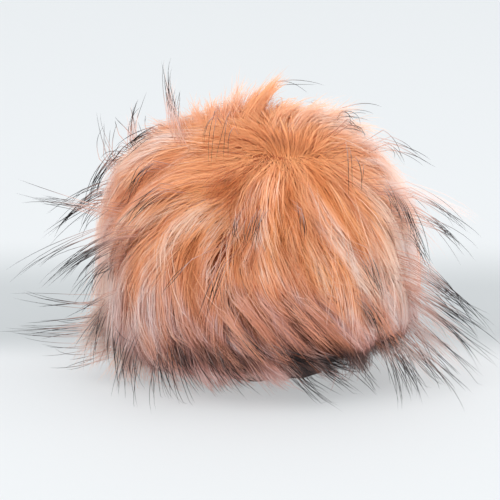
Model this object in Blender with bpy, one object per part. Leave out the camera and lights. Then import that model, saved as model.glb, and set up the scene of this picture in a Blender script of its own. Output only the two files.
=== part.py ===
"""A faux-fur pom pom: one gathered ball of long pile, lying on a level surface.

The solid is a slightly squashed core with a flat spot underneath, and about two hundred and sixty tapered
locks of pile that grow out of the core's faces. The pile is combed away from a crown, falls under its own
weight and hugs the ball down to its underside, where it is shorter. Thin guard locks stand out past the
rest, and what comes down to the surface below lies level on it. The locks stand clear of each other and
of the core everywhere but at their roots.

Metres, +Z up. The origin is the middle of the flat spot, and the crown leans towards -Y.
"""

import itertools
import math
import random
from collections import namedtuple

import bmesh
import bpy
from mathutils import Vector
from mathutils.bvhtree import BVHTree

UP = Vector((0.0, 0.0, 1.0))

# The core: the gathered cloth with the dense pile at its roots.
CORE_RADIUS = 0.043
CORE_HALF_HEIGHT = 0.0395
CORE_CENTRE = Vector((0.0, 0.0, 0.0375))
CORE_SUBDIVISIONS = 3

# The comb: where the pile parts, how strongly it runs from there and falls, and where locks that flare
# start to turn outwards.
CROWN = Vector((0.18, -0.38, 0.90)).normalized()
AWAY_FROM_CROWN = 1.0
FALL = 0.65
FLARE_BELOW = -0.05

# Tufts: the pile leans from side to side in waves round the crown, so that locks gather and part.
TUFT_LEAN = math.radians(20.0)
TUFTS_ROUND = 7
TUFT_TWIST = 3.0
LOCK_TURN = math.radians(9.0)

# The pile. Each kind of lock takes its share of every run of roots. Lifts are degrees off the core, and
# lowest is the share of its length that a lock keeps at the lowest roots.
Lock = namedtuple("Lock", "kind share length lowest width thickness root_lift tip_lift flare")
LOCKS = (
    Lock("pile", 5, 0.039, 0.40, 0.0068, 0.0024, 40.0, 2.0, 0.7),
    Lock("long", 1, 0.045, 0.45, 0.0052, 0.0022, 42.0, 5.0, 1.0),
    Lock("guard", 1, 0.062, 0.50, 0.0028, 0.0015, 62.0, 26.0, 1.7),
)
LENGTH_SPREAD = 0.15
SEGMENTS = 5
STEPS_A_SEGMENT = 3
LIFT_EASE = 2.0

# A lock's outline: its root's share of a face, then a swell, then a taper to its tip.
ROOT_SHARE = 0.30
NECK = 0.75
TIP_SHARE = 0.14
TAPER_EASE = 1.5

# Heights on the unit ball: below the first a root's lock is shorter, and below the second it has none.
SHORT_BELOW = 0.0
BARE_BELOW = -0.74

# Pile that comes down to the surface below levels out over this height and spreads outwards on it.
# The ridge of a lock from further under than the last height faces up from its root on.
LANDING = 0.018
FLOOR_SPREAD = 0.6
UNDERSIDE = -0.55

# The clearance that a lock keeps, and what it tries to keep it: other lifts first, then shorter cuts.
GAP = 0.0003
RISES = (1.0, 1.2, 1.4, 0.8, 1.6)
SIDESTEPS = (0.0, math.radians(14.0), math.radians(-14.0))
CUTS = (1.0, 0.8, 0.6, 0.45, 0.32)

SEED = 6
SHARP_EDGE = math.radians(40.0)
FUR_COLOUR = (0.80, 0.38, 0.22, 1.0)
FUR_ROUGHNESS = 0.9


def clear_scene():
    for thing in list(bpy.data.objects):
        bpy.data.objects.remove(thing, do_unlink=True)


def fur_material():
    material = bpy.data.materials.new("faux_fur")
    material.use_nodes = True
    shader = material.node_tree.nodes["Principled BSDF"]
    shader.inputs["Base Color"].default_value = FUR_COLOUR
    shader.inputs["Roughness"].default_value = FUR_ROUGHNESS
    shader.inputs["Metallic"].default_value = 0.0
    return material


def on_unit_ball(point):
    """The direction from the core's centre, with the squash taken out."""
    away = point - CORE_CENTRE
    return Vector((away.x / CORE_RADIUS, away.y / CORE_RADIUS, away.z / CORE_HALF_HEIGHT)).normalized()


def outward(ball):
    """The core's normal below a place on the unit ball."""
    return Vector((ball.x / CORE_RADIUS, ball.y / CORE_RADIUS, ball.z / CORE_HALF_HEIGHT)).normalized()


def level(vector):
    return Vector((vector.x, vector.y, 0.0))


def off_the_floor(point):
    return Vector((point.x, point.y, max(0.0, point.z)))


def tuft_lean(ball):
    """How far the pile leans aside here: a wave round the crown that winds as it goes down."""
    east = UP.cross(CROWN).normalized()
    north = CROWN.cross(east)
    azimuth = math.atan2(ball.dot(north), ball.dot(east))
    polar = math.acos(max(-1.0, min(1.0, ball.dot(CROWN))))
    return TUFT_LEAN * math.sin(TUFTS_ROUND * azimuth + TUFT_TWIST * polar)


def comb(ball, turn, flare):
    """The way the pile runs along the core here, turned aside by its tuft and by the lock's own turn."""
    normal = outward(ball)
    away = (ball * ball.dot(CROWN) - CROWN).normalized() * AWAY_FROM_CROWN
    flow = away - UP * FALL
    flow = (flow - normal * flow.dot(normal)).normalized()
    flow += level(ball) * (flare * max(0.0, FLARE_BELOW - ball.z) ** 2)
    aside = turn + tuft_lean(ball)
    return (flow * math.cos(aside) + normal.cross(flow) * math.sin(aside)).normalized()


def landed(point):
    """From 0, above where the pile starts to level out, to 1, on the surface below."""
    return 1.0 - min(1.0, max(0.0, point.z / LANDING))


def lock_path(root, lock, length, turn, rise):
    """The middle of a lock's underside, segment by segment."""
    steps = SEGMENTS * STEPS_A_SEGMENT
    point = root.copy()
    path = [root]
    for step in range(1, steps + 1):
        ball = on_unit_ball(point)
        to_tip = (1.0 - step / steps) ** LIFT_EASE
        lift = math.radians(lock.tip_lift + (lock.root_lift - lock.tip_lift) * to_tip) * rise
        heading = comb(ball, turn, lock.flare) * math.cos(lift) + outward(ball) * math.sin(lift)
        if heading.z < 0.0:
            heading += level(ball) * (FLOOR_SPREAD * landed(point))
            heading.z *= math.sqrt(1.0 - landed(point))
        point = off_the_floor(point + heading.normalized() * (length / steps))
        if step % STEPS_A_SEGMENT == 0:
            path.append(point)
    return path


def lock_rings(path, lock, grow=0.0):
    """A lock's three-cornered sections, carried along untwisted: two corners below and one on the ridge."""
    rings = []
    last = len(path) - 1
    ball = on_unit_ball(path[0])
    side = (UP if ball.z < UNDERSIDE else outward(ball)).cross(path[1] - path[0])
    for place in range(1, last + 1):
        point = path[place]
        along = (path[min(place + 1, last)] - path[place - 1]).normalized()
        side = side - along * side.dot(along)
        side.z *= 1.0 - landed(point)
        side.normalize()
        ridge = along.cross(side).normalized()
        share = place / last
        swell = (1.0 - (1.0 - TIP_SHARE) * share ** TAPER_EASE) * min(1.0, NECK + share)
        half_width = side * (lock.width * 0.5 * swell + grow)
        under = point - ridge * grow
        top = point + ridge * (lock.thickness * swell + grow)
        rings.append(tuple(map(off_the_floor, (under - half_width, under + half_width, top))))
    return rings


def root_ring(face):
    """The corners of the part of a face that a lock grows from."""
    middle = face.calc_center_median()
    return tuple(middle.lerp(vert.co, ROOT_SHARE) for vert in face.verts)


def match_rings(rings, root):
    """The rings with their corners in the order that twists the lock least on its root."""
    shift = min(range(3), key=lambda turned: sum(
        (rings[0][(corner + turned) % 3] - root[corner]).length for corner in range(3)))
    return [ring[shift:] + ring[:shift] for ring in rings]


def skin(rings):
    """A lock's skin through its rings as corners and triangles, for testing its clearance."""
    corners = [corner for ring in rings for corner in ring]
    triangles = [(len(corners) - 3, len(corners) - 2, len(corners) - 1)]
    for low in range(0, len(corners) - 3, 3):
        for corner in range(3):
            turned = (corner + 1) % 3
            triangles.append((low + corner, low + turned, low + 3 + turned))
            triangles.append((low + corner, low + 3 + turned, low + 3 + corner))
    return corners, triangles


def folds_on_itself(tree, triangles):
    return any(not set(triangles[one]) & set(triangles[other]) for one, other in tree.overlap(tree))


def make_core():
    core = bmesh.new()
    bmesh.ops.create_icosphere(core, subdivisions=CORE_SUBDIVISIONS, radius=1.0)
    for vert in core.verts:
        vert.co.x = CORE_CENTRE.x + vert.co.x * CORE_RADIUS
        vert.co.y = CORE_CENTRE.y + vert.co.y * CORE_RADIUS
        vert.co.z = max(0.0, CORE_CENTRE.z + vert.co.z * CORE_HALF_HEIGHT)
    return core


def choose_roots(core):
    """The faces that carry a lock, from the lowest up to the crown, each with its kind of lock."""
    roots = []
    for face in core.faces:
        ball = on_unit_ball(face.calc_center_median())
        if ball.z > BARE_BELOW:
            roots.append((ball.dot(CROWN), face.index, face))
    roots.sort(key=lambda root: root[:2])
    pattern = [lock for lock in LOCKS for _ in range(lock.share)]
    return [(root[2], pattern[place % len(pattern)]) for place, root in enumerate(roots)]


def plan_lock(face, lock, chance, core_tree, placed):
    """The first try that stands clear of the core and of every lock before it, as its rings."""
    start = face.calc_center_median()
    root = root_ring(face)
    height = on_unit_ball(start).z
    turn = chance.uniform(-LOCK_TURN, LOCK_TURN)
    length = lock.length * (1.0 + chance.uniform(-LENGTH_SPREAD, LENGTH_SPREAD))
    if height < SHORT_BELOW:
        length *= 1.0 - (1.0 - lock.lowest) * (SHORT_BELOW - height) / (SHORT_BELOW - BARE_BELOW)
    near = [tree for other, reach, tree in placed if (other - start).length < reach + length]
    for cut in CUTS:
        for sidestep, rise in itertools.product(SIDESTEPS, RISES):
            path = lock_path(start, lock, length * cut, turn + sidestep, rise)
            swollen = match_rings(lock_rings(path, lock, grow=GAP), root)
            corners, triangles = skin([root] + swollen)
            whole = BVHTree.FromPolygons(corners, triangles)
            if folds_on_itself(whole, triangles) or any(map(whole.overlap, near)):
                continue
            if BVHTree.FromPolygons(*skin(swollen)).overlap(core_tree):
                continue
            placed.append((start, length * cut, whole))
            return match_rings(lock_rings(path, lock), root)
    return None


def grow_lock(core, face, rings):
    """Insets the face to the lock's root and extrudes it through the rings."""
    root = root_ring(face)
    bmesh.ops.inset_individual(core, faces=[face], thickness=GAP)
    for ring in [root] + rings:
        if ring is not root:
            face = bmesh.ops.extrude_discrete_faces(core, faces=[face])["faces"][0]
        for corner, vert in zip(ring, face.verts):
            vert.co = corner


def make_fur_ball():
    core = make_core()
    core_tree = BVHTree.FromBMesh(core)
    chance = random.Random(SEED)
    placed = []
    plans = [(face, plan_lock(face, lock, chance, core_tree, placed)) for face, lock in choose_roots(core)]
    for face, rings in plans:
        if rings:
            grow_lock(core, face, rings)
    mesh = bpy.data.meshes.new("fur_ball")
    core.to_mesh(mesh)
    core.free()
    mesh.shade_smooth()
    mesh.set_sharp_from_angle(angle=SHARP_EDGE)
    mesh.materials.append(fur_material())
    fur_ball = bpy.data.objects.new("fur_ball", mesh)
    bpy.context.scene.collection.objects.link(fur_ball)


clear_scene()
make_fur_ball()
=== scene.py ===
"""The looks of a faux-fur pom pom: a soft peach pile and black-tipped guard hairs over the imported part."""
import math
from collections import namedtuple

import bmesh
import bpy
import numpy as np
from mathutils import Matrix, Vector


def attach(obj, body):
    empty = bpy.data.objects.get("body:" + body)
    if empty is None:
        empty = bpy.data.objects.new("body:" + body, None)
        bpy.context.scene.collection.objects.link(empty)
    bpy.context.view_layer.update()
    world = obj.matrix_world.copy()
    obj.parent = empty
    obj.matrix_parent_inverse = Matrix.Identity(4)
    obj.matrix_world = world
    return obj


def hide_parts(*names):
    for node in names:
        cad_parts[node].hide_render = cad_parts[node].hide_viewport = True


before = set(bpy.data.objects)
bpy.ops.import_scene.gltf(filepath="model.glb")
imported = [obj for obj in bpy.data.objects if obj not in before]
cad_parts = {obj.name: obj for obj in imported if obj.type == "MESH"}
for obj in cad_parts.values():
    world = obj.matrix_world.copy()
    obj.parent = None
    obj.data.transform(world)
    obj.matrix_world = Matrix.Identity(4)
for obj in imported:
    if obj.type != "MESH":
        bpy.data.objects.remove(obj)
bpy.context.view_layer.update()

# Lengths are in metres, turns and lifts in degrees, and places in the picture in pixels.
SEED = 11
chance = np.random.default_rng(SEED)
UP = np.array([0.0, 0.0, 1.0])
LEVEL = np.array([1.0, 1.0, 0.0])
MILLIMETRE = 0.001
PERCENT = 100
TINY = 1e-12

# Half sizes and middles of the woven base that hairs root in, and of the dense ball that they make.
CORE = np.array([0.043, 0.043, 0.0395])
CORE_CENTRE = np.array([0.0, 0.0, 0.0375])
BODY = np.array([0.0540, 0.0540, 0.0440])
BODY_CENTRE = np.array([0.0, 0.0, 0.0436])
# Hairs stay this far above the floor, and turn level as they come down to it.
FLOOR_GAP = 0.0003
LANDING = 0.016

# The photograph's frame: its size, its scale, and the pixel the middle of the ball stands at.
FRAME = 500
METRES_A_PIXEL = 0.00033
BALL_X, BALL_Y = 262.0, 240.0
DISTANCE = 0.9
ELEVATION = math.radians(15.0)
RIGHT = np.array([1.0, 0.0, 0.0])
TOP = np.array([0.0, math.sin(ELEVATION), math.cos(ELEVATION)])
SIGHT = np.array([0.0, math.cos(ELEVATION), -math.sin(ELEVATION)])
AIM = (BODY_CENTRE - RIGHT * (BALL_X - FRAME / 2) * METRES_A_PIXEL
       + TOP * (BALL_Y - FRAME / 2) * METRES_A_PIXEL)
CAMERA_AT = AIM - SIGHT * DISTANCE

# The crown is a short parting; its middle is what the dyes are measured from.
CROWN_PIXEL = (295, 138)
PARTING_PIXELS = ((246, 134), (332, 150))
CROWN_HEIGHT = 0.004

# The comb: a stroke's reach, the share and steepness of the plain fall under the strokes, from where down
# hairs may flare, and how squarely skin must be seen to take a heading.
STROKE_REACH = 0.13
BASE_SHARE = 0.10
FALL = 0.65
FLARE_BELOW = 0.05
LEAST_FACING = 0.35

# Strokes of the comb over the front: pixel, and heading (0 right, 90 down the picture, 180 left).
Stroke = namedtuple("Stroke", "x y heading")
STROKES = [Stroke(*row) for row in (
    (98, 192, 125), (124, 147, 147), (149, 166, 133), (117, 211, 122), (187, 134, 156), (200, 179, 168),
    (175, 196, 150), (143, 230, 130), (130, 256, 108), (112, 290, 98), (175, 243, 112), (191, 262, 106),
    (232, 217, 124), (230, 138, 178), (257, 162, 140), (245, 194, 124), (276, 168, 108), (299, 175, 86),
    (289, 213, 92), (264, 226, 112), (321, 187, 60), (334, 226, 58), (347, 187, 50), (372, 175, 50),
    (366, 213, 58), (330, 118, -30), (352, 128, 20), (251, 112, -70), (213, 120, -130), (141, 296, 94),
    (181, 276, 98), (189, 305, 72), (165, 335, 76), (227, 289, 80), (233, 240, 114), (252, 252, 106),
    (268, 272, 72), (283, 248, 82), (308, 280, 62), (332, 272, 56), (340, 240, 55), (252, 320, 48),
    (292, 320, 50), (220, 336, 48), (268, 356, 38), (332, 328, 44), (197, 351, 58), (316, 356, 32),
    (385, 250, 62), (400, 290, 62), (380, 320, 55), (412, 250, 64), (398, 205, 50), (120, 345, 88),
    (270, 124, -100), (304, 124, -75), (291, 158, 92), (276, 154, 108), (306, 158, 78), (250, 150, 150))]

# Partings and swells of the fur: two pixels, half width, how much lighter and pinker, in percent, and
# how much higher, in millimetres. The lightness is painted shade in the partings and painted shadow along
# the bottom, and painted light on swells and at the outline; the pinkness is the hair's own tone.
Band = namedtuple("Band", "x0 y0 x1 y1 half light pink rise")
BANDS = [Band(*row) for row in (
    (178, 152, 150, 176, 5, -36, -10, -1.4), (150, 176, 124, 205, 6, -38, -10, -1.4),
    (124, 205, 108, 226, 5, -28, 0, -1.0), (236, 180, 222, 192, 4, -24, -10, -0.8),
    (222, 189, 184, 188, 5, -14, -10, -0.6), (184, 188, 146, 212, 6, -18, -10, -1.0),
    (220, 193, 186, 206, 4, -14, 0, -0.5), (186, 206, 154, 234, 5, -20, 0, -0.8),
    (200, 232, 189, 250, 5, -36, -15, -1.4), (189, 250, 193, 280, 6, -36, -15, -1.4),
    (178, 246, 179, 280, 4, -24, -15, -1.0), (184, 290, 198, 320, 6, -24, -15, -1.0),
    (138, 245, 131, 305, 6, -18, -15, -0.8), (250, 225, 240, 258, 4, -26, 0, -1.0),
    (254, 250, 250, 276, 4, -34, 0, -1.2), (236, 248, 235, 292, 4, -22, -5, -0.8),
    (290, 192, 288, 218, 5, -34, -10, -1.2), (278, 200, 272, 224, 4, -26, 0, -1.0),
    (281, 222, 286, 252, 4, -20, -20, -0.8), (300, 216, 301, 254, 4, -30, 0, -1.0),
    (300, 258, 322, 312, 5, -24, -10, -1.0), (312, 166, 326, 192, 7, -20, -20, -1.0),
    (326, 192, 350, 222, 7, -20, -20, -1.0), (350, 222, 366, 250, 6, -14, -20, -0.6),
    (312, 235, 340, 262, 5, -20, -10, -0.8), (285, 300, 318, 345, 8, -32, 5, -1.4),
    (256, 322, 298, 356, 5, -32, 0, -1.2), (222, 326, 262, 362, 4, -34, 10, -1.2),
    (305, 335, 345, 352, 10, -36, 0, -1.4), (276, 141, 310, 147, 9, -26, -35, -0.6),
    (256, 138, 284, 138, 3, -16, -20, 0.0), (312, 148, 348, 158, 12, -8, -25, 0.0),
    (178, 352, 262, 360, 8, -40, 5, -1.5), (130, 376, 300, 386, 9, 55, 10, -1.5),
    (300, 368, 372, 362, 9, -62, 15, -3.0), (380, 350, 406, 345, 8, -62, 20, -2.5),
    (200, 140, 260, 130, 12, -6, -20, 0.0), (118, 150, 148, 132, 30, 5, 20, 4.0),
    (96, 195, 97, 235, 18, 10, 10, -0.5), (90, 255, 92, 305, 20, 8, 6, -4.5),
    (88, 325, 100, 345, 28, 10, -5, 3.5), (92, 322, 122, 366, 20, 38, -5, 1.0),
    (432, 160, 442, 320, 26, 34, 50, -7.5), (345, 118, 405, 165, 26, 24, 42, -1.5),
    (198, 205, 225, 255, 26, 18, 2, 0.0), (130, 325, 165, 345, 28, 10, -5, 1.0),
    (378, 185, 395, 250, 24, 9, 0, 0.0), (398, 185, 410, 262, 14, 20, 15, 0.0),
    (390, 285, 400, 325, 24, 18, 20, 0.0), (240, 105, 275, 100, 26, 0, 0, 2.0),
    (292, 112, 345, 116, 16, 12, 10, 3.5), (240, 124, 330, 132, 20, 3, -25, 0.0),
    (240, 215, 300, 300, 40, -10, -5, 0.0), (135, 230, 150, 270, 24, -5, -5, 0.0),
    (215, 332, 310, 326, 24, -11, 10, 0.0), (262, 300, 300, 330, 24, -25, 5, 0.0))]

# Ridges that stand out on the front: three pixels, half width, and how much lighter and pinker, in percent.
# The lightness is a painted highlight, the pinkness the hair's own tone. All rise by the same height, in
# millimetres.
Ridge = namedtuple("Ridge", "x0 y0 x1 y1 x2 y2 half light pink")
RIDGE_RISE = 0.5
RIDGES = [Ridge(*row) for row in (
    (207, 130, 168, 142, 126, 174, 5, 14, 25), (194, 149, 154, 172, 118, 222, 6, 16, 25),
    (156, 128, 126, 150, 103, 190, 7, 4, 20), (232, 160, 190, 165, 150, 195, 9, 6, -5),
    (232, 172, 190, 175, 156, 198, 7, 4, -5), (182, 194, 150, 216, 130, 250, 7, 5, 8),
    (208, 203, 174, 222, 160, 262, 6, 5, 8), (182, 220, 167, 250, 165, 292, 7, 9, 6),
    (152, 225, 143, 255, 148, 290, 7, 4, 0), (147, 268, 142, 300, 133, 346, 4, 16, 25),
    (152, 288, 151, 318, 162, 350, 4, 16, 25), (176, 278, 186, 312, 210, 346, 5, 12, 20),
    (166, 292, 174, 325, 192, 352, 6, 8, 15), (120, 262, 118, 300, 122, 340, 8, 10, 10),
    (104, 248, 111, 290, 104, 334, 8, 8, 5), (99, 226, 103, 262, 108, 292, 8, 10, 12),
    (258, 182, 238, 222, 216, 272, 6, 12, 22), (277, 160, 271, 192, 261, 226, 7, 3, 8),
    (288, 157, 283, 186, 279, 212, 4, 8, 5), (303, 157, 304, 185, 301, 216, 6, 10, 5),
    (267, 210, 260, 238, 242, 266, 4, 14, 20), (274, 212, 270, 240, 272, 270, 6, 6, -20),
    (262, 240, 264, 275, 282, 312, 6, 18, 5), (286, 222, 290, 252, 306, 286, 5, 6, 0),
    (300, 275, 316, 302, 340, 330, 6, 12, 20), (232, 276, 246, 310, 290, 352, 5, 12, 22),
    (221, 284, 232, 320, 270, 356, 5, 14, 28), (214, 318, 236, 348, 288, 378, 4, 34, 32),
    (258, 294, 280, 324, 302, 356, 5, 18, 32), (276, 276, 298, 300, 322, 334, 6, 16, 25),
    (306, 250, 326, 284, 346, 314, 9, 10, -22), (206, 246, 206, 272, 214, 302, 6, 14, 15),
    (200, 300, 212, 326, 240, 352, 6, 6, 20), (244, 262, 250, 290, 272, 322, 6, 6, 0),
    (316, 196, 338, 232, 356, 268, 7, 14, 22), (350, 256, 364, 292, 374, 336, 4, 24, 18),
    (354, 214, 372, 246, 392, 284, 8, 6, 0), (366, 188, 386, 220, 404, 256, 8, 6, 4),
    (340, 160, 362, 186, 384, 218, 8, 8, 0), (310, 200, 322, 230, 338, 256, 6, 10, 20),
    (330, 238, 344, 266, 360, 300, 7, 4, -10), (386, 248, 398, 280, 408, 322, 8, 12, 5),
    (372, 268, 386, 296, 398, 332, 7, 8, 10), (334, 288, 350, 316, 374, 346, 5, 12, 28),
    (320, 300, 340, 326, 366, 352, 6, 8, 30), (403, 236, 412, 268, 418, 306, 6, 20, 15),
    (326, 168, 338, 190, 356, 214, 6, 4, 0), (240, 122, 222, 124, 200, 130, 8, 4, 0),
    (318, 114, 334, 115, 352, 120, 7, 10, 15))]

# How far the painted light and shade, the pinkness and the heights of the bands reach round the outline:
# -1 faces the camera, 0 is the outline.
BAND_PAINT_REACH = ((-0.10, 1.0), (0.10, 0.55), (0.50, 0.0))
RISE_REACH = ((-0.10, 1.0), (0.30, 0.0))
# Where, and how widely, hairs near the outline are turned to the front.
OUTLINE_AT, OUTLINE_SPREAD = 0.10, 0.35

# Even spreads: the golden angle in half turns, how much each place is moved, how low they go, and how many
# points are looked up at once.
GOLDEN_TURN = 3.0 - math.sqrt(5.0)
SCATTER_MOVE = 0.35
LOWEST = -0.93
AT_ONCE = 2000


def unit(vectors):
    return vectors / np.maximum(np.linalg.norm(vectors, axis=-1, keepdims=True), TINY)


def curve(places, line):
    """Levels read at places off a line through (place, level) points."""
    return np.interp(places, *zip(*line))


def screen_ray(x, y):
    """The line of sight through a pixel."""
    tilt = METRES_A_PIXEL / DISTANCE
    across = (np.asarray(x)[..., None] - FRAME / 2) * tilt
    down = (np.asarray(y)[..., None] - FRAME / 2) * tilt
    return unit(SIGHT + RIGHT * across - TOP * down)


def on_ball(x, y, sizes=BODY, centre=BODY_CENTRE):
    """Where the line of sight through a pixel meets a ball, or comes nearest to it."""
    ray = screen_ray(x, y)
    start = (CAMERA_AT - centre) / sizes
    step = ray / sizes
    a, b, c = np.sum(step * step, axis=-1), step @ start, start @ start - 1.0
    inside = np.maximum(0.0, b * b - a * c)
    return CAMERA_AT + ray * ((-b - np.sqrt(inside)) / a)[..., None]


def pixel_of(points):
    """Where points are seen in the picture."""
    away = points - CAMERA_AT
    scale = DISTANCE / METRES_A_PIXEL / (away @ SIGHT)
    return FRAME / 2 + away @ RIGHT * scale, FRAME / 2 - away @ TOP * scale


def ball_of(points):
    """Where points lie round the base, on a ball of radius 1."""
    return unit((points - CORE_CENTRE) / CORE)


def outward(ball):
    """The normal of the base's skin at places on the ball."""
    return unit(ball / CORE)


def along_skin(vectors, normal):
    return unit(vectors - normal * np.sum(vectors * normal, axis=-1, keepdims=True))


def above_floor(points):
    """Points with any that are too low put back on the floor."""
    points[..., 2] = np.maximum(points[..., 2], FLOOR_GAP)
    return points


def picture_heading(ball, degrees):
    """The tangent at a place on the ball that is seen at the given heading."""
    normal = outward(ball)
    angle = math.radians(degrees)
    seen = RIGHT * math.cos(angle) - TOP * math.sin(angle)
    facing = min(-LEAST_FACING, float(normal @ SIGHT))
    return along_skin(seen - SIGHT * float(seen @ normal) / facing, normal)


CROWN, *PARTING = (ball_of(on_ball(x, y, CORE + CROWN_HEIGHT, CORE_CENTRE))
                   for x, y in (CROWN_PIXEL, *PARTING_PIXELS))


def ridge_pixels(ridge):
    return (ridge.x0, ridge.y0), (ridge.x1, ridge.y1), (ridge.x2, ridge.y2)


def all_strokes():
    """The strokes of the comb, with three more along each of the ridges."""
    strokes = list(STROKES)
    for ridge in RIDGES:
        first, middle, last = ridge_pixels(ridge)
        for at, start, end in ((first, first, middle), (middle, first, last), (last, middle, last)):
            heading = math.degrees(math.atan2(end[1] - start[1], end[0] - start[0]))
            strokes.append(Stroke(*at, heading))
    return strokes


def all_bands():
    """The bands, with two more along each of the ridges."""
    bands = list(BANDS)
    for ridge in RIDGES:
        first, middle, last = ridge_pixels(ridge)
        looks = (ridge.half, ridge.light, ridge.pink, RIDGE_RISE)
        bands.append(Band(*first, *middle, *looks))
        bands.append(Band(*middle, *last, *looks))
    return bands


COMB = all_strokes()
STROKE_AT = np.array([ball_of(on_ball(stroke.x, stroke.y)) for stroke in COMB])
STROKE_TO = np.array([picture_heading(at, stroke.heading) for at, stroke in zip(STROKE_AT, COMB)])


def comb(ball, flare=0.0):
    """Which way the fur runs: away from the parting and down, as the strokes comb it."""
    normal = outward(ball)
    run = PARTING[1] - PARTING[0]
    share = np.clip((ball - PARTING[0]) @ run / (run @ run), 0.0, 1.0)[:, None]
    crown = unit(PARTING[0] + run * share)
    away = unit(ball * np.sum(ball * crown, axis=1, keepdims=True) - crown)
    base = along_skin(away - UP * FALL, normal)
    weight = np.exp((ball @ STROKE_AT.T - 1.0) / STROKE_REACH ** 2)
    flow = along_skin(weight @ STROKE_TO + base * BASE_SHARE, normal)
    return unit(flow + ball * LEVEL * flare * np.maximum(0.0, -FLARE_BELOW - ball[:, 2:3]) ** 2)


def aimed(flow, normal, turn, lift):
    """Directions turned about the skin's normal, then lifted off the skin."""
    turn, lift = turn[:, None], lift[:, None]
    flow = flow * np.cos(turn) + np.cross(normal, flow) * np.sin(turn)
    return flow * np.cos(lift) + normal * np.sin(lift)


def grow(roots, length, root_lift, tip_lift, turn, segments, steps_each=1):
    """Paths of hairs that start on the base and bend over to lie along the fur."""
    point = CORE_CENTRE + roots * CORE
    path = [point]
    count = segments * steps_each
    for step in range(1, count + 1):
        ball = ball_of(point)
        lift = tip_lift + (root_lift - tip_lift) * (1.0 - step / count) ** 2
        heading = aimed(comb(ball), outward(ball), turn, lift)
        near = 1.0 - np.clip(point[:, 2:3] / LANDING, 0.0, 1.0)
        heading[:, 2:3] *= np.where(heading[:, 2:3] < 0.0, np.sqrt(1.0 - near), 1.0)
        point = above_floor(point + unit(heading) * (length / count)[:, None])
        if step % steps_each == 0:
            path.append(point)
    return np.stack(path, axis=1)


def scatter(count, lowest=LOWEST):
    """Places spread evenly over the ball in a spiral from the top, each moved a little."""
    index = np.arange(count) + 0.5
    z = 1.0 - (1.0 - lowest) * index / count
    around = index * math.pi * GOLDEN_TURN
    flat = np.sqrt(1.0 - z * z)
    ball = np.stack([flat * np.cos(around), flat * np.sin(around), z], axis=1)
    spacing = math.sqrt(2.0 * math.pi * (1.0 - lowest) / count)
    return unit(ball + chance.normal(0.0, SCATTER_MOVE * spacing, ball.shape))


def nearest(points, centres):
    """Which of the centres each point on the ball is nearest to."""
    parts = [points[start:start + AT_ONCE] for start in range(0, len(points), AT_ONCE)]
    return np.concatenate([np.argmax(part @ centres.T, axis=1) for part in parts])


def band_painted_light_pink_rise(points):
    """The painted light and shade, the pinkness and the rise of the fur at points of the front by the bands
    near them.
    """
    x, y = pixel_of(points)
    light, pink, rise = np.zeros(x.shape), np.zeros(x.shape), np.zeros(x.shape)
    for band in all_bands():
        run_x, run_y = band.x1 - band.x0, band.y1 - band.y0
        share = ((x - band.x0) * run_x + (y - band.y0) * run_y) / (run_x * run_x + run_y * run_y)
        share = np.clip(share, 0.0, 1.0)
        gap = (x - band.x0 - share * run_x) ** 2 + (y - band.y0 - share * run_y) ** 2
        near = np.exp(-gap / band.half ** 2)
        light += band.light / PERCENT * near
        pink += band.pink / PERCENT * near
        rise += MILLIMETRE * band.rise * near
    across = outward(ball_of(points)) @ SIGHT
    front = curve(across, BAND_PAINT_REACH)
    return light * front, pink * front, rise * curve(across, RISE_REACH)


def to_front(points, most=1.0):
    """How far hairs at the outline are turned to the front."""
    across = outward(ball_of(points)) @ SIGHT
    return -SIGHT * (most * np.exp(-((across - OUTLINE_AT) / OUTLINE_SPREAD) ** 2))[..., None]


# ---- meshes
# The chart of dyes fills the map but for a thin margin, and the sides of a hair lie a little apart in it.
CHART_MARGIN_U, CHART_MARGIN_V = 0.004, 0.002
CHART_ASIDE = 0.0018
# How wide a hair is from its root (0) to its tip (1).
FLAT_TAPER = ((0.0, 0.7), (0.3, 1.0), (0.8, 0.7), (1.0, 0.1))
PRISM_TAPER = ((0.0, 0.8), (0.5, 1.0), (1.0, 0.25))
PRISM_SIDES = 3


def add_object(name, data):
    """A new object in the scene."""
    thing = bpy.data.objects.new(name, data)
    bpy.context.scene.collection.objects.link(thing)
    return thing


def chart_place(u, v, aside):
    """A place in the dye chart, kept inside it; aside goes from -1 to 1 across a hair."""
    u = CHART_MARGIN_U + np.clip(u, 0.0, 1.0) * (1.0 - 2.0 * CHART_MARGIN_U) + aside * CHART_ASIDE
    v = CHART_MARGIN_V + np.clip(v, 0.0, 1.0) * (1.0 - 2.0 * CHART_MARGIN_V)
    return np.stack(np.broadcast_arrays(u, v), axis=-1)


def hair_faces(rings, around, walls):
    """One hair's faces: walls from each corner of a ring to the next, closed at the tip."""
    faces = []
    for ring in range(rings):
        for wall in range(walls):
            low, high = ring * around + wall, ring * around + (wall + 1) % around
            above = [high + around, low + around] if ring < rings - 1 else [rings * around]
            faces.append([low, high] + above)
    return faces


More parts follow.
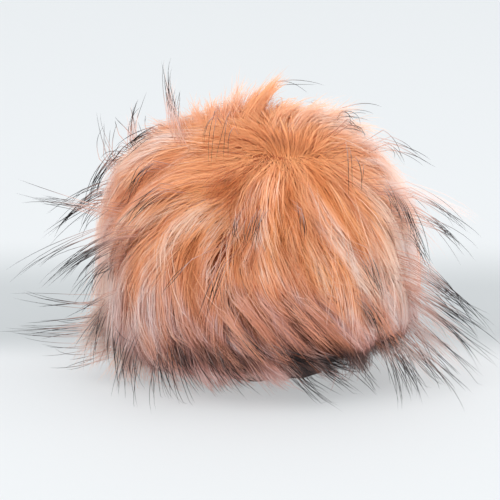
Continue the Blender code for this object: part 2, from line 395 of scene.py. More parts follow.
def hair_mesh(name, paths, corners, walls, hue, light, shading=None):
    """One mesh of many hairs, mapped in OFBake, whose corners meet at the tips."""
    count, points = paths.shape[:2]
    rings, around = points - 1, len(corners)
    per = rings * around + 1
    verts = np.empty((count, per, 3))
    uv = np.empty((count, per, 2))
    for corner, aside in enumerate(np.linspace(-1.0, 1.0, around)):
        verts[:, corner:-1:around] = corners[corner][:, :-1]
        uv[:, corner:-1:around] = chart_place(hue, light, aside)[:, :-1]
    verts[:, -1] = paths[:, -1]
    uv[:, -1] = chart_place(hue, light, 0.0)[:, -1]

    faces = hair_faces(rings, around, walls)
    loops = (np.arange(count)[:, None] * per + np.concatenate(faces)).ravel()
    sizes = np.tile([len(face) for face in faces], count)
    starts = np.concatenate([[0], np.cumsum(sizes)[:-1]])
    mesh = bpy.data.meshes.new(name)
    mesh.vertices.add(count * per)
    mesh.vertices.foreach_set("co", verts.ravel())
    mesh.loops.add(len(loops))
    mesh.loops.foreach_set("vertex_index", loops.astype(np.int32))
    mesh.polygons.add(len(sizes))
    mesh.polygons.foreach_set("loop_start", starts.astype(np.int32))
    mesh.polygons.foreach_set("loop_total", sizes.astype(np.int32))
    mesh.update(calc_edges=True)
    mesh.shade_smooth()
    layer = mesh.uv_layers.new(name="OFBake")
    layer.data.foreach_set("uv", uv.reshape(-1, 2)[loops].ravel())
    if shading is not None:
        normals = np.concatenate([np.repeat(shading[:, :-1], around, axis=1), shading[:, -1:]], axis=1)
        mesh.normals_split_custom_set_from_vertices(normals.reshape(-1, 3))
    return add_object(name, mesh)


def half_widths(paths, width, taper):
    profile = curve(np.linspace(0.0, 1.0, paths.shape[1]), taper)
    return (width[:, None] * profile)[:, :, None] * 0.5


def ribbons(name, paths, width, facing, shading, hue, light):
    """Flat tapered hairs, square to facing and shaded as if square to shading."""
    side = unit(np.cross(unit(np.gradient(paths, axis=1)), facing))
    half = side * half_widths(paths, width, FLAT_TAPER)
    return hair_mesh(name, paths, (paths - half, paths + half), 1, hue, light, shading)


def prisms(name, paths, width, hue, light):
    """Three-sided tapered hairs."""
    along = unit(np.gradient(paths, axis=1))
    side = unit(np.cross(along, outward(ball_of(paths))))
    other = np.cross(side, along)
    radius = half_widths(paths, width, PRISM_TAPER)
    angles = [2.0 * math.pi * corner / PRISM_SIDES for corner in range(PRISM_SIDES)]
    corners = [paths + (side * math.cos(angle) + other * math.sin(angle)) * radius for angle in angles]
    return hair_mesh(name, paths, corners, PRISM_SIDES, hue, light)


# ---- dyes
# Charts of dyes as they look on screen: dark (0) to light (1) in the pile, root (0) to tip (1) in the guard
# hairs. Each fur blends three of them across its map. In the pile, lightness carries painted light and shade
# as well as the hair's own tone.
ORANGE = [(0.0, (165, 78, 38)), (0.4, (238, 152, 92)), (0.75, (250, 180, 126)), (1.0, (252, 206, 174))]
PEACH = [(0.0, (128, 66, 45)), (0.4, (236, 152, 110)), (0.75, (249, 182, 143)), (1.0, (254, 222, 202))]
MAUVE = [(0.0, (62, 40, 38)), (0.2, (120, 78, 70)), (0.42, (200, 138, 126)), (0.75, (240, 196, 187)),
         (1.0, (252, 232, 227))]
GUARD_PALE = [(0.0, (232, 170, 140)), (0.45, (238, 212, 204)), (0.62, (150, 138, 136)),
              (0.78, (44, 42, 45)), (1.0, (30, 29, 32))]
GUARD_MID = [(0.0, (228, 160, 130)), (0.35, (230, 195, 185)), (0.52, (110, 98, 96)),
             (0.66, (34, 32, 35)), (1.0, (24, 23, 26))]
GUARD_DARK = [(0.0, (215, 150, 125)), (0.22, (190, 150, 140)), (0.38, (80, 70, 70)),
              (0.52, (26, 25, 27)), (1.0, (20, 19, 22))]
SHEEN_TINT = (255, 232, 224)
BLACK, WHITE = (0, 0, 0), (255, 255, 255)


def dye(colour):
    """A screen colour, 0 to 255, as the shader's own numbers, by the sRGB curve."""
    share = np.array(colour) / 255.0
    return tuple(np.where(share <= 0.04045, share / 12.92, ((share + 0.055) / 1.055) ** 2.4)) + (1.0,)


def new_material(name, rough):
    """A material of one shader, with its nodes."""
    material = bpy.data.materials.new(name)
    material.use_nodes = True
    shader = material.node_tree.nodes["Principled BSDF"]
    shader.inputs["Roughness"].default_value = rough
    return material, material.node_tree, shader


def axes_of(tree, vector):
    """The X, Y and Z of a vector."""
    split = tree.nodes.new("ShaderNodeSeparateXYZ")
    tree.links.new(vector, split.inputs[0])
    return split.outputs


def ramp(tree, factor, chart, ease="LINEAR"):
    """A ramp through the dyes of a chart."""
    node = tree.nodes.new("ShaderNodeValToRGB")
    node.color_ramp.interpolation = ease
    while len(node.color_ramp.elements) < len(chart):
        node.color_ramp.elements.new(0.5)
    for element, (place, colour) in zip(node.color_ramp.elements, chart):
        element.position = place
        element.color = dye(colour)
    tree.links.new(factor, node.inputs["Fac"])
    return node.outputs["Color"]


def step_ramp(tree, factor, low, high):
    return ramp(tree, factor, [(low, BLACK), (high, WHITE)])


def mix(tree, factor, one, other):
    """One colour where the factor is 0 and the other where it is 1."""
    node = tree.nodes.new("ShaderNodeMix")
    node.data_type = "RGBA"
    tree.links.new(factor, node.inputs["Factor"])
    sockets = [socket for socket in node.inputs if socket.type == "RGBA"]
    tree.links.new(one, sockets[0])
    tree.links.new(other, sockets[1])
    return [socket for socket in node.outputs if socket.type == "RGBA"][0]


def charted_fur(name, charts, rough, sheen):
    """Fur dyed from three charts that blend across its map."""
    material, tree, shader = new_material(name, rough)
    place = tree.nodes.new("ShaderNodeUVMap")
    place.uv_map = "OFBake"
    axes = axes_of(tree, place.outputs["UV"])
    left, middle, right = (ramp(tree, axes["Y"], chart) for chart in charts)
    first = mix(tree, step_ramp(tree, axes["X"], 0.0, 0.5), left, middle)
    whole = mix(tree, step_ramp(tree, axes["X"], 0.5, 1.0), first, right)
    tree.links.new(whole, shader.inputs["Base Color"])
    shader.inputs["Specular IOR Level"].default_value = 0.15
    shader.inputs["Sheen Weight"].default_value = sheen
    shader.inputs["Sheen Tint"].default_value = dye(SHEEN_TINT)
    return material


def wear(piece, material):
    """Dress a piece, and let it stand for the plain solid on its body."""
    piece.data.materials.append(material)
    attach(piece, "root")
    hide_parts("fur_ball")


# ---- the pile
# The coats of the pile: hairs, how many hidden segments of each are left out, length, lift off the skin at
# root and tip, looseness of the tips, how much lighter the coat is, and width.
Coat = namedtuple("Coat", "name hairs hidden length root_lift tip_lift loose light width")
COATS = [Coat(*row) for row in (
    ("undercoat", 14000, 0, 0.032, 42.0, 5.0, 0.0005, 0.02, 0.00040),
    ("pile_low", 26500, 3, 0.038, 41.0, 4.0, 0.0004, 0.03, 0.00020),
    ("pile_mid", 26500, 3, 0.040, 41.0, 4.0, 0.0005, 0.05, 0.00017),
    ("pile_top", 26500, 3, 0.042, 41.0, 4.0, 0.0007, 0.06, 0.00013))]
CROWN_COAT = Coat("crown", 19000, 0, 0.023, 60.0, 8.0, 0.0015, 0.00, 0.00014)
SEGMENTS = 7
HAIR_WIDTHS = (0.7, 1.25)
# Length and lift by the height on the ball: short and flat underneath.
LENGTH_AT = ((-0.85, 0.18), (-0.45, 0.37), (0.0, 0.95))
LIFT_AT = ((-0.85, 0.45), (-0.2, 1.0))

# The locks: how many, how much of the ball's height of 2 they cover, and how they differ.
LOCKS = 480
LOCKS_COVER = 1.85
LOCK_SPACING = math.sqrt(2.0 * math.pi * LOCKS_COVER / LOCKS)
LOCK_TURN = 11.0
LOCK_LENGTHS = (0.85, 1.12)
LOCK_LIFT, LOCK_LIFTS = 0.16, (0.6, 1.5)
LOCK_HUE = 0.09
LOCK_LIGHT = 0.085

# The hairs of a lock: length, overall and by the way to its edge; turn, lift and gathering. Some stray.
HAIR_LENGTHS = (0.84, 1.10)
MIDDLE_LENGTH, EDGE_SHORTER = 1.08, 0.16
HAIR_TURN, HAIR_LIFT, LOCK_GATHER = 3.0, 0.02, 0.42
STRAY_TURN, STRAY_LIFT, STRAY_GATHER = 16.0, 0.13, 0.1
STRAYS = 0.11
GATHER_EASE = 1.2
# The waves of a lock, its dome and how far that reaches, and the bow of single hairs.
LOCK_WAVE, LOCK_WAVES = 0.0016, 1.1
LOCK_DOME, DOME_REACH, DOME_EASE = 0.0010, 0.6, 0.8
HAIR_BOW = 0.0003
# A lock is shaded as if round: how far from its middle hairs face 45 degrees aside, how much that counts,
# and how hairs tilt.
LOCK_ROUND = 0.0045
ROUND_SHARE = 0.6
HAIR_TILT = 0.10

# The soft fur behind the parting: how far it reaches, how soon it begins, and how its hairs differ.
SOFT_REACH = 0.75
CROWN_BLEND = 0.25
SOFT_TURN = 14.0
SOFT_LIFT = 0.08
SOFT_THIN = 0.45

# The dye by the way from the crown (0) to the far side (1) and along a hair; the lightness along a hair, the
# painted shade at the edge of a lock, and the painted shade, darker and more mauve, towards the floor.
HUE_AT = ((0.0, 0.0), (0.25, 0.15), (0.45, 0.38), (0.75, 0.85))
TIP_HUE, PLAIN_HUE_AT = 0.15, 0.6
HAIR_HUE = 0.06
LIGHT_ALONG = ((0.0, 0.25), (0.15, 0.50), (0.5, 0.64), (1.0, 0.72))
HAIR_LIGHT = 0.12
LOCK_EDGE_SHADE, MEAN_EDGE = 0.26, 0.38
UNDERSIDE_SHADE = ((-0.90, 0.80), (-0.60, 0.56), (-0.30, 0.15), (0.05, 0.0))
UNDERSIDE_SHADE_HUE = 0.7
# The least lightness of the pile at the crown, and how far that holds.
CROWN_LIGHT, CROWN_BARE = 0.50, 0.15


class Locks:
    """The locks the pile falls into, each with its own length, lift, turn, wave and dye."""

    def __init__(self):
        self.ball = scatter(LOCKS)
        self.turn = chance.normal(0.0, math.radians(LOCK_TURN), LOCKS)
        self.length = chance.uniform(*LOCK_LENGTHS, LOCKS)
        self.lift = chance.normal(1.0, LOCK_LIFT, LOCKS).clip(*LOCK_LIFTS)
        self.phase = chance.uniform(0.0, 2.0 * math.pi, LOCKS)
        self.hue = chance.normal(0.0, LOCK_HUE, LOCKS)
        self.light = chance.normal(0.0, LOCK_LIGHT, LOCKS)


def behind_parting(ball):
    """From 0 in front of the parting to 1 behind it."""
    return np.clip(0.5 + (ball - CROWN) @ SIGHT / CROWN_BLEND, 0.0, 1.0)


def softness(ball):
    """How far a place is in the soft fur behind the parting, which falls into no locks."""
    gap = ball - CROWN
    return behind_parting(ball) * np.exp(-(np.sum(gap * gap, axis=1) / SOFT_REACH ** 2) ** 2)


def lock_paths(locks, coat, ball, lock, locked, turn, length, lift):
    """Hairs that share the length, lift and turn of their lock as far as they are locked."""
    height = ball[:, 2]
    lock_length = 1.0 + (locks.length[lock] - 1.0) * locked
    lock_lift = 1.0 + (locks.lift[lock] - 1.0) * locked
    length = coat.length * curve(height, LENGTH_AT) * lock_length * length
    root_lift = np.radians(coat.root_lift) * lock_lift * lift * curve(height, LIFT_AT)
    tip_lift = np.radians(coat.tip_lift) * lift
    return grow(ball, length, root_lift, tip_lift, locks.turn[lock] * locked + turn, SEGMENTS)


def make_coat(locks, coat):
    """One coat of the pile, gathered into its locks, parted and ridged by the bands, and dyed with painted
    light and shade.
    """
    count = coat.hairs
    share = np.linspace(0.0, 1.0, SEGMENTS + 1)[None, :, None]
    still, whole = np.zeros(LOCKS), np.ones(LOCKS)
    middle = lock_paths(locks, coat, locks.ball, np.arange(LOCKS), whole, still, whole, whole)
    ball = scatter(count)
    lock = nearest(ball, locks.ball)
    apart = np.sqrt(np.maximum(0.0, 2.0 - 2.0 * np.sum(ball * locks.ball[lock], axis=1)))
    edge = apart / LOCK_SPACING
    stray = chance.uniform(0.0, 1.0, count) < STRAYS
    soft = softness(ball)
    locked = 1.0 - soft

    # The hairs grow, and gather towards the middle of their lock.
    turn = chance.normal(0.0, np.radians(np.where(stray, STRAY_TURN, HAIR_TURN + SOFT_TURN * soft)))
    lift = chance.normal(1.0, np.where(stray, STRAY_LIFT, HAIR_LIFT + SOFT_LIFT * soft))
    length = chance.uniform(*HAIR_LENGTHS, count) * (MIDDLE_LENGTH - EDGE_SHORTER * edge)
    hair = lock_paths(locks, coat, ball, lock, locked, turn, length, lift)
    gather = np.where(stray, STRAY_GATHER, LOCK_GATHER * locked)[:, None, None]
    hair = hair + (middle[lock] - hair) * gather * share ** GATHER_EASE

    # The locks wave and rise in domes, hairs stray a little, and the bands part and raise them.
    normal = outward(ball_of(hair))
    along = unit(np.gradient(hair, axis=1))
    aside = unit(np.cross(normal, along))
    phase = locks.phase[lock][:, None, None]
    wave = LOCK_WAVE * np.sin(2.0 * math.pi * LOCK_WAVES * share + phase) * share
    crest = (1.0 - (edge / DOME_REACH).clip(0.0, 1.0) ** 2)[:, None, None]
    dome = LOCK_DOME * crest * np.sin(math.pi * share ** DOME_EASE)
    hair = hair + (aside * wave + normal * dome) * locked[:, None, None]
    hair = hair + chance.normal(0.0, coat.loose, (count, 1, 3)) * share ** 2
    hair = hair + chance.normal(0.0, HAIR_BOW, (count, 1, 3)) * np.sin(math.pi * share)
    light, pink, rise = band_painted_light_pink_rise(hair)
    hair = above_floor(hair + normal * (rise[..., None] * share))

    # Only the segments that show are kept, and are shaded as if each lock were round.
    hair, middle, normal, along, dome, share, light, pink = (
        each[:, coat.hidden:] for each in (hair, middle, normal, along, dome, share, light, pink))
    locked = locked[:, None]
    rounded = unit(normal + (hair - middle[lock] - normal * dome) / LOCK_ROUND * locked[..., None])
    tilt = chance.normal(0.0, HAIR_TILT, (count, 1, 1))
    turned = to_front(hair)
    shading = unit(normal + ROUND_SHARE * rounded + np.cross(along, rounded) * tilt + turned)

    # The dyes, with painted light and shade from the bands, at the edges of the locks and towards the floor.
    here = ball_of(hair)
    down = np.arccos(np.clip(here @ CROWN, -1.0, 1.0)) / math.pi
    # Painted shade: towards the floor the pile is darker and more mauve.
    under = curve(here[..., 2], UNDERSIDE_SHADE)
    hue = (curve(down, HUE_AT) + pink + TIP_HUE * (share[..., 0] - PLAIN_HUE_AT)
           + locks.hue[lock][:, None] + chance.normal(0.0, HAIR_HUE, count)[:, None])
    hue = hue + UNDERSIDE_SHADE_HUE * under
    # Painted shade darkens the hairs at the edges of a lock, in the grooves between locks.
    own = locks.light[lock] + chance.normal(0.0, HAIR_LIGHT, count) - LOCK_EDGE_SHADE * (edge - MEAN_EDGE)
    value = curve(share[..., 0], LIGHT_ALONG) + light + coat.light + own[:, None] * locked
    value = value - under
    bare = np.exp(-(down / CROWN_BARE) ** 2)
    value = value + (np.maximum(value, CROWN_LIGHT + light) - value) * bare
    width = coat.width * chance.uniform(*HAIR_WIDTHS, count) * (1.0 - SOFT_THIN * soft)
    return ribbons(coat.name, hair, width, unit(rounded + turned), shading, hue, value)


# The crown's hairs: how far from it they root, their lengths, lifts and turns, and how they face aside.
CROWN_SEGMENTS, CROWN_STEPS = 4, 2
CROWN_REACH = math.radians(40.0)
CROWN_LENGTHS = (0.75, 1.15)
CROWN_ROOT_SPREAD, CROWN_TIP_SPREAD = 0.10, 0.3
CROWN_TURN, CROWN_TURN_BEHIND = 10.0, 25.0
CROWN_ASIDE = 0.2
# Their dye and lightness, and their share of their lock's lightness.
CROWN_HUE, CROWN_HUE_SPREAD = 0.02, 0.07
CROWN_LIGHT_ALONG = ((0.0, 0.51), (0.3, 0.56), (1.0, 0.61))
CROWN_LIGHT_SPREAD, CROWN_LOCK_LIGHT = 0.03, 0.5


def make_crown(locks, coat):
    """Short fine hairs over the crown: combed in front of the parting, and fuzzy behind it."""
    count = coat.hairs
    east = unit(np.cross(UP, CROWN))
    north = np.cross(CROWN, east)
    polar = CROWN_REACH * np.sqrt(chance.uniform(0.0, 1.0, count))[:, None]
    around = chance.uniform(0.0, 2.0 * math.pi, count)[:, None]
    ball = unit(CROWN * np.cos(polar) + (east * np.cos(around) + north * np.sin(around)) * np.sin(polar))
    lock = nearest(ball, locks.ball)
    behind = behind_parting(ball)
    length = coat.length * chance.uniform(*CROWN_LENGTHS, count)
    root_lift = np.radians(coat.root_lift) * chance.normal(1.0, CROWN_ROOT_SPREAD, count)
    tip_lift = np.radians(coat.tip_lift) * chance.normal(1.0, CROWN_TIP_SPREAD, count)
    spread = np.radians(CROWN_TURN + CROWN_TURN_BEHIND * behind)
    turn = locks.turn[lock] + chance.normal(0.0, spread, count)
    hair = grow(ball, length, root_lift, tip_lift, turn, CROWN_SEGMENTS, CROWN_STEPS)
    share = np.linspace(0.0, 1.0, CROWN_SEGMENTS + 1)[None, :, None]
    hair = hair + chance.normal(0.0, coat.loose, (count, 1, 3)) * share

    # The bands paint light and shade on the crown as well.
    light, pink = band_painted_light_pink_rise(hair)[:2]
    hue = CROWN_HUE + pink + locks.hue[lock][:, None] + chance.normal(0.0, CROWN_HUE_SPREAD, (count, 1))
    own = CROWN_LOCK_LIGHT * locks.light[lock][:, None]
    value = curve(share[..., 0], CROWN_LIGHT_ALONG) + light + coat.light + own
    value = value + chance.normal(0.0, CROWN_LIGHT_SPREAD, (count, 1))
    width = coat.width * (1.0 - SOFT_THIN * behind) * chance.uniform(*HAIR_WIDTHS, count)
    normal = outward(ball_of(hair))
    turned = to_front(hair)
    facing = unit(normal + chance.normal(0.0, CROWN_ASIDE, (count, 1, 3)) + turned)
    return ribbons(coat.name, hair, width, facing, unit(normal + turned), hue, value)


# ---- guard hairs
GUARD_SEGMENTS = 7
STIFF_WIDTHS = (0.7, 1.2)
# Width, looseness, bow, heights above the dense ball where they leave it and end, spread of darkness.
GUARD_WIDTH = 0.00024
GUARD_LOOSE = 0.0010
GUARD_BOW = 0.0007
GUARD_HEIGHTS = (0.0030, 0.0060)
GUARD_HUE = 0.12

# A tuft: its thickness where it leaves, its depth and fan at the tips, and how long its hairs are, how far
# back they root and how they bow.
TUFT_THICK = 0.0013
TUFT_DEEP = 0.005
FAN_SHARE = 0.75
TUFT_LENGTHS = (0.60, 1.06)
TUFT_ROOT = 0.012
TUFT_BOW = 0.28

# Wild tufts over the back: how many are tried, how low, and how likely each is kept by its angle from the
# crown, in radians, and by how far back it is.
WILD_TUFTS = 300
WILD_LOWEST = -0.7
WILD_FROM_CROWN = ((0.5, 0.0), (1.1, 0.20), (1.6, 0.9))
WILD_TO_BACK = ((0.15, 0.0), (0.5, 1.0))
# Their hairs, turns, lifts, lengths, darkness, flare, fan, droop, and depth and thickness where they leave.
WILD_HAIRS = (4, 13)
WILD_TURN = 20.0
WILD_LIFTS = (14.0, 46.0)
WILD_LENGTHS, WILD_HAIR_LENGTHS = (0.016, 0.036), (0.7, 1.1)
WILD_DARK = (0.2, 1.0)
WILD_FLARE, WILD_FAN, WILD_DROOP = 1.7, 0.10, 0.10
WILD_DEPTH, WILD_THICK = 0.002, 0.0016

# Tufts that show in the photograph: root pixel, tip pixel, hairs, fan of the tips, darkness in percent.
Tuft = namedtuple("Tuft", "x0 y0 x1 y1 hairs fan dark")
TUFTS = [Tuft(*row) for row in (
    (152, 133, 118, 155, 14, 3, 100), (126, 150, 106, 168, 10, 4, 100), (112, 160, 86, 206, 14, 3, 100),
    (100, 190, 64, 222, 10, 3, 90), (94, 200, 42, 240, 8, 5, 90), (104, 205, 78, 238, 6, 6, 70),
    (108, 160, 98, 124, 4, 4, 40), (108, 156, 108, 114, 4, 6, 20), (132, 140, 137, 98, 8, 5, 50),
    (126, 130, 118, 112, 2, 3, 60), (150, 135, 140, 112, 3, 5, 30), (174, 130, 167, 62, 12, 3, 50),
    (178, 130, 172, 84, 8, 6, 30), (104, 212, 12, 198, 7, 3, 45), (104, 210, 18, 189, 5, 3, 30),
    (112, 228, 4, 281, 7, 5, 60), (120, 234, 40, 286, 11, 4, 80), (116, 240, 52, 288, 8, 6, 80),
    (112, 250, 62, 296, 6, 7, 80), (110, 258, 78, 306, 8, 7, 70), (112, 262, 92, 284, 6, 6, 70),
    (108, 304, 8, 298, 7, 6, 35), (106, 312, 24, 320, 5, 8, 30), (106, 322, 0, 326, 8, 8, 40),
    (104, 334, 14, 330, 5, 9, 30), (108, 344, 22, 352, 5, 9, 20), (110, 352, 62, 368, 5, 7, 20),
    (112, 296, 76, 318, 4, 4, 80), (110, 300, 76, 346, 4, 5, 80), (110, 304, 88, 378, 4, 6, 90),
    (106, 302, 97, 378, 4, 5, 90), (114, 312, 106, 384, 4, 5, 90), (122, 320, 113, 394, 5, 6, 90),
    (136, 325, 119, 398, 7, 5, 90), (128, 346, 130, 398, 6, 6, 70), (118, 316, 142, 346, 3, 3, 80),
    (139, 338, 142, 390, 4, 3, 70), (141, 342, 136, 410, 4, 2, 70), (160, 340, 170, 398, 8, 5, 100),
    (166, 342, 182, 414, 8, 6, 100), (160, 350, 151, 430, 4, 3, 80), (178, 344, 206, 406, 8, 6, 100),
    (198, 346, 229, 396, 8, 5, 90), (214, 346, 255, 402, 10, 5, 90), (240, 330, 284, 372, 8, 5, 90),
    (285, 358, 335, 405, 20, 7, 80), (310, 358, 361, 395, 16, 6, 80), (352, 352, 384, 394, 10, 8, 70),
    (270, 345, 332, 370, 34, 7, 100), (310, 350, 366, 366, 26, 5, 100), (362, 300, 386, 344, 12, 5, 100),
    (380, 332, 406, 348, 14, 6, 100), (382, 335, 403, 412, 7, 3, 80), (386, 338, 414, 402, 9, 4, 80),
    (390, 340, 424, 403, 9, 4, 80), (394, 342, 432, 395, 8, 4, 80), (398, 342, 446, 388, 6, 4, 70),
    (412, 345, 457, 400, 6, 4, 60), (418, 345, 475, 399, 6, 4, 60), (414, 262, 490, 336, 14, 6, 70),
    (414, 280, 482, 318, 9, 10, 50), (416, 300, 486, 362, 14, 12, 50), (414, 320, 476, 370, 10, 12, 50),
    (414, 290, 494, 346, 14, 8, 60), (416, 275, 462, 300, 6, 10, 30), (412, 335, 452, 384, 7, 12, 40),
    (408, 232, 428, 270, 8, 4, 80), (398, 196, 427, 262, 10, 6, 90), (386, 188, 400, 228, 5, 3, 90),
    (413, 218, 476, 252, 10, 8, 50), (408, 192, 472, 236, 8, 6, 50), (412, 208, 462, 246, 6, 10, 30),
    (388, 142, 443, 172, 6, 4, 50), (382, 138, 404, 166, 4, 3, 50), (340, 112, 356, 124, 5, 4, 90),
    (348, 124, 370, 136, 5, 5, 80), (276, 84, 328, 88, 3, 2, 90), (340, 110, 390, 116, 4, 8, 30),
    (193, 262, 158, 297, 2, 2, 90), (222, 265, 203, 321, 3, 2, 100), (217, 275, 219, 309, 2, 2, 100),
    (214, 115, 198, 165, 4, 5, 90), (236, 122, 224, 168, 3, 4, 90), (349, 148, 351, 202, 2, 1, 90),
    (358, 163, 363, 196, 2, 2, 90), (262, 210, 246, 262, 8, 5, 90), (245, 215, 236, 250, 6, 4, 90),
    (150, 165, 122, 208, 9, 5, 90), (160, 190, 116, 232, 7, 5, 90), (300, 210, 306, 250, 5, 4, 90),
    (365, 255, 382, 310, 6, 5, 80))]


def seen_point(x, y, above):
    """The place seen at a pixel: above the body, beside it, or on the floor in front of it."""
    point = on_ball(x, y, BODY + above)
    if point[2] < FLOOR_GAP:
        ray = screen_ray(x, y)
        point = CAMERA_AT + ray * ((FLOOR_GAP - CAMERA_AT[2]) / ray[2])
    return point


def bundle(leave, tips, segments):
    """Nearly straight hairs from where they leave the fur to their tips, with hidden roots."""
    run = tips - leave
    normal = outward(ball_of(leave))
    roots = CORE_CENTRE + ball_of(leave - along_skin(run, normal) * TUFT_ROOT) * CORE
    share = np.linspace(0.0, 1.0, segments)[None, :, None]
    long = np.linalg.norm(run, axis=1)[:, None, None]
    bow = normal[:, None] * long * TUFT_BOW * share * (1.0 - share)
    return np.concatenate([roots[:, None], leave[:, None] + run[:, None] * share + bow], axis=1)


def tuft_paths(tuft, segments, leave_above, tip_above):
    """Hairs that leave the pile at one pixel and fan out to their tips at another."""
    many = tuft.hairs
    leave = on_ball(tuft.x0, tuft.y0, BODY + leave_above) + chance.normal(0.0, TUFT_THICK, (many, 3))
    tip = seen_point(tuft.x1, tuft.y1, tip_above)
    fan = tuft.fan * METRES_A_PIXEL * FAN_SHARE
    tips = tip + (chance.normal(0.0, fan, (many, 1)) * RIGHT + chance.normal(0.0, fan, (many, 1)) * TOP
                  + chance.normal(0.0, TUFT_DEEP, (many, 1)) * SIGHT)
    tips = leave + (tips - leave) * chance.uniform(*TUFT_LENGTHS, (many, 1))
    return bundle(leave, tips, segments)


def wild_tufts():
    """Tufts over the back, fewer near the crown; TUFTS has those of the front."""
    tufts = scatter(WILD_TUFTS, WILD_LOWEST)
    polar = np.arccos(np.clip(tufts @ CROWN, -1.0, 1.0))
    keep = curve(polar, WILD_FROM_CROWN) * curve(tufts[:, 1], WILD_TO_BACK)
    tufts = tufts[chance.uniform(0.0, 1.0, len(tufts)) < keep]
    many = len(tufts)
    turn = chance.normal(0.0, math.radians(WILD_TURN), many)
    lift = np.radians(chance.uniform(*WILD_LIFTS, many))
    long = chance.uniform(*WILD_LENGTHS, many)
    dark = chance.uniform(*WILD_DARK, many)
    heading = aimed(comb(tufts, WILD_FLARE), outward(tufts), turn, lift)
    tuft = np.repeat(np.arange(many), chance.integers(*WILD_HAIRS, many))
    count = len(tuft)
    leave = BODY_CENTRE + tufts[tuft] * (BODY - WILD_DEPTH) + chance.normal(0.0, WILD_THICK, (count, 3))
    length = (long[tuft] * chance.uniform(*WILD_HAIR_LENGTHS, count))[:, None]
    tips = leave + (heading[tuft] + chance.normal(0.0, WILD_FAN, (count, 3)) - WILD_DROOP * UP) * length
    return bundle(leave, tips, GUARD_SEGMENTS), dark[tuft]


def make_guard():
    """The stiff black-tipped hairs, in wild tufts and in those of TUFTS."""
    path, dark = wild_tufts()
    placed = [tuft_paths(tuft, GUARD_SEGMENTS, *GUARD_HEIGHTS) for tuft in TUFTS]
    hair = np.concatenate([path] + placed)
    dark = np.concatenate([dark] + [np.full(tuft.hairs, tuft.dark / PERCENT) for tuft in TUFTS])
    count = len(hair)
    share = np.linspace(0.0, 1.0, GUARD_SEGMENTS + 1)[None, :, None]
    hair = hair + chance.normal(0.0, GUARD_LOOSE, (count, 1, 3)) * share ** 2
    hair = hair + chance.normal(0.0, GUARD_BOW, (count, 1, 3)) * np.sin(math.pi * share) * share
    hue = (dark + chance.normal(0.0, GUARD_HUE, count))[:, None]
    width = GUARD_WIDTH * chance.uniform(*STIFF_WIDTHS, count)
    return prisms("guard_hairs", above_floor(hair), width, hue, share[..., 0])


# ---- soft tufts
# Soft tufts that stand off the pile: as TUFTS, with their dye and lightness at root and tip, in percent.
# Their paleness is partly the hair's own pale tips and partly painted light, for light through fine hair.
Fluff = namedtuple("Fluff", "x0 y0 x1 y1 hairs fan hue light tip")
FLUFFS = [Fluff(*row) for row in (
    (252, 116, 281, 78, 240, 4, 12, 58, 82), (245, 114, 264, 88, 120, 8, 22, 60, 90),
    (234, 116, 242, 84, 100, 8, 40, 64, 100), (224, 120, 230, 97, 120, 8, 40, 62, 98),
    (212, 124, 212, 102, 140, 7, 30, 66, 88), (200, 128, 194, 108, 110, 7, 40, 68, 90),
    (188, 130, 176, 116, 100, 7, 50, 70, 90), (170, 134, 150, 124, 80, 7, 60, 72, 92),
    (278, 118, 306, 104, 120, 8, 20, 74, 94), (300, 120, 330, 104, 120, 9, 30, 80, 100),
    (322, 122, 354, 112, 110, 9, 40, 84, 100), (345, 128, 378, 134, 100, 10, 50, 90, 100),
    (362, 142, 396, 162, 60, 10, 70, 94, 100), (378, 162, 410, 190, 50, 10, 75, 94, 100),
    (390, 185, 424, 220, 50, 10, 85, 94, 100), (402, 212, 434, 262, 24, 12, 100, 100, 100),
    (408, 245, 438, 302, 22, 14, 100, 100, 100), (405, 280, 440, 336, 26, 15, 100, 100, 100),
    (396, 310, 440, 356, 44, 15, 100, 100, 100), (408, 300, 468, 346, 50, 12, 98, 100, 100),
    (408, 322, 458, 366, 50, 12, 98, 100, 100), (395, 188, 480, 222, 26, 6, 90, 100, 100),
    (112, 222, 94, 262, 50, 9, 75, 86, 100), (112, 245, 94, 292, 60, 9, 80, 90, 100),
    (108, 270, 94, 322, 70, 8, 75, 86, 100), (112, 300, 82, 338, 160, 9, 75, 92, 100),
    (114, 316, 80, 352, 160, 9, 75, 92, 100), (120, 326, 94, 366, 170, 10, 76, 92, 100),
    (132, 334, 112, 376, 160, 10, 78, 90, 100), (146, 344, 136, 378, 110, 9, 80, 82, 100),
    (112, 262, 98, 302, 60, 9, 70, 90, 100), (122, 160, 100, 206, 40, 5, 80, 84, 100),
    (174, 132, 168, 72, 34, 3, 85, 90, 100), (132, 138, 134, 112, 26, 5, 85, 90, 100),
    (130, 350, 130, 384, 110, 9, 90, 72, 92), (150, 352, 156, 388, 120, 9, 90, 72, 92),
    (170, 354, 184, 390, 120, 9, 90, 70, 92), (190, 356, 208, 387, 110, 9, 90, 68, 92),
    (212, 358, 236, 384, 110, 8, 88, 66, 92), (236, 360, 262, 382, 90, 7, 85, 62, 90),
    (370, 338, 400, 366, 50, 9, 95, 90, 100), (388, 332, 428, 372, 60, 10, 95, 100, 100))]
